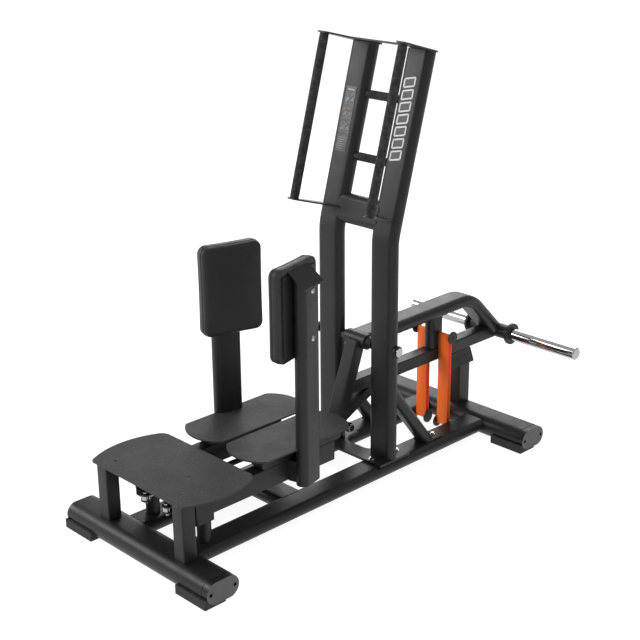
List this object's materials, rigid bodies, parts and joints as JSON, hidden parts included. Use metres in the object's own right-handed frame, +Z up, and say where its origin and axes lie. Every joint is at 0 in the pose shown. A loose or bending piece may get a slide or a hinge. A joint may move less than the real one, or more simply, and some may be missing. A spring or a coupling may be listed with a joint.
{
  "type": "plate-loaded standing hip machine",
  "caption": "Plate-loaded standing hip machine: step, two foot plates and thigh pads on outward-swinging arms, linked by push rods to a rear weight lever with horns",
  "frame": {"origin": "on the floor, below the middle of the bounding box", "axes": "+Z up, +Y from the step towards the weight horns, +X to the right of a user who stands facing the uprights"},
  "size_m": [0.86, 1.93, 1.6389],
  "materials": {
    "frame_paint": "fine textured powder coat, satin",
    "tread_paint": "coarse anti-slip coating, matte",
    "grip_black": "knurled, matte",
    "pad_vinyl": "grained vinyl, satin",
    "chrome": "polished chrome",
    "strap_orange": "moulded elastic band, satin",
    "end_cap_grey": "moulded plastic",
    "rubber": "moulded rubber, matte",
    "screw_black": "black oxide",
    "placard_grey": "printed plastic sheet"
  },
  "bodies": {
    "frame": {"crossbars": "frame_paint", "end_caps": "end_cap_grey", "rubber_feet": "rubber", "side_rail_left": "frame_paint", "side_rail_right": "frame_paint", "post_crossmember": "frame_paint", "upright_base_plate": "frame_paint", "upright_left": "frame_paint", "upright_right": "frame_paint", "upright_crossmember": "frame_paint", "cross_grips": "grip_black", "handle_grips": "grip_black", "handle_bottom_brackets": "frame_paint", "handle_top_bracket": "frame_paint", "instruction_placard": "placard_grey", "step_legs": "frame_paint", "step_frame": "frame_paint", "step_plate": "tread_paint", "step_screws": "screw_black", "pivot_posts": "frame_paint", "diagonal_braces": "frame_paint", "frame_bolts": "chrome", "rear_post": "frame_paint", "stop_block": "rubber", "lever_axle": "frame_paint", "lower_strap_pegs": "frame_paint"},
    "lever": {"lever_sleeve": "frame_paint", "lever_upper_tube": "frame_paint", "lever_lower_tube": "frame_paint", "lever_strut": "frame_paint", "lever_drop_arm": "frame_paint", "lever_drop_brace": "frame_paint", "lever_rod_pin": "chrome", "horn_hub": "frame_paint", "weight_horns": "chrome", "strap_pegs": "frame_paint", "strap_left": "strap_orange", "strap_right": "strap_orange"},
    "left_arm": {"arm_beam_left": "frame_paint", "foot_carrier_left": "frame_paint", "arm_pivot_left": "frame_paint", "foot_plate_left": "tread_paint", "pad_post_left": "frame_paint", "post_mount_left": "frame_paint", "pad_mount_left": "frame_paint", "pad_left": "pad_vinyl", "arm_bolts_left": "chrome"},
    "right_arm": {"arm_beam_right": "frame_paint", "foot_carrier_right": "frame_paint", "arm_pivot_right": "frame_paint", "foot_plate_right": "tread_paint", "pad_post_right": "frame_paint", "post_mount_right": "frame_paint", "pad_mount_right": "frame_paint", "pad_right": "pad_vinyl", "arm_bolts_right": "chrome"},
    "left_rod": {"push_rod_left": "frame_paint", "rod_ends_left": "chrome"},
    "right_rod": {"push_rod_right": "frame_paint", "rod_ends_right": "chrome"}
  },
  "joints": [
    {"name": "lever_pivot", "type": "hinge", "parent": "frame", "child": "lever", "pos_m": [0, 0.123, 0.518], "axis": [1, 0, 0], "range_deg": [0, 9], "deforming": ["strap_left", "strap_right"]},
    {"name": "right_arm_pivot", "type": "hinge", "parent": "frame", "child": "right_arm", "pos_m": [0.14, -0.762, 0.2], "axis": [0, 0, -1], "range_deg": [0, 30]},
    {"name": "left_arm_pivot", "type": "hinge", "parent": "frame", "child": "left_arm", "pos_m": [-0.14, -0.762, 0.2], "axis": [0, 0, 1], "range_deg": [0, 30]},
    {"name": "right_crank_pivot", "type": "hinge", "parent": "right_arm", "child": "right_rod", "pos_m": [0.058, -0.849, 0.197], "axis": [-0.0257, 0, 0.9997], "range_deg": [0, 27.8]},
    {"name": "left_crank_pivot", "type": "hinge", "parent": "left_arm", "child": "left_rod", "pos_m": [-0.058, -0.849, 0.197], "axis": [-0.0257, 0, -0.9997], "range_deg": [0, 27.8]}
  ],
  "couplings": [
    {"joint": "right_arm_pivot", "follows": "lever_pivot", "ratio": 3.3311},
    {"joint": "left_arm_pivot", "follows": "lever_pivot", "ratio": 3.3311},
    {"joint": "right_crank_pivot", "follows": "lever_pivot", "ratio": 3.0795},
    {"joint": "left_crank_pivot", "follows": "lever_pivot", "ratio": 3.0795}
  ]
}
